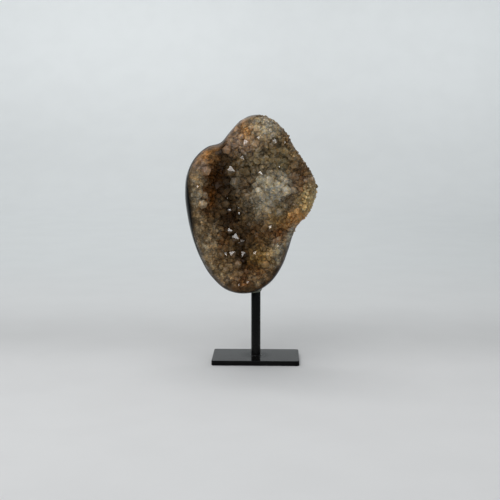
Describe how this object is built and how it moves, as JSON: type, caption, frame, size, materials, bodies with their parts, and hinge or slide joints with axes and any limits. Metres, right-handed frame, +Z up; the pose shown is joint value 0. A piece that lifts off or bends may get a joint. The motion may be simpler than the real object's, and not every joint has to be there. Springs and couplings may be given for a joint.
{
  "type": "agate geode chunk on a stand",
  "caption": "Chunk of agate geode with a hollow front lined with brown quartz crystals, glued on a black post above a flat black foot.",
  "frame": {"origin": "centre of the foot plate's underside, on the axis of the post", "axes": "+Z up along the post, -Y the crystal front of the stone, +X to the right seen from the front"},
  "size_m": [0.119, 0.0544, 0.2253],
  "materials": {
    "agate": "polished agate on the rim and edge, natural rough skin on the back",
    "quartz": "glassy smoky brown quartz crystals with rust, yellow and pale patches",
    "black_bar": "satin black coating on a steel bar",
    "black_plate": "glossy black coating on a steel plate",
    "glue": "cured greenish grey glue"
  },
  "bodies": {
    "root": {"foot_plate": "black_plate", "post": "black_bar", "agate_body": "agate", "crystal_crust": "quartz", "glue_bead": "glue"}
  },
  "joints": []
}
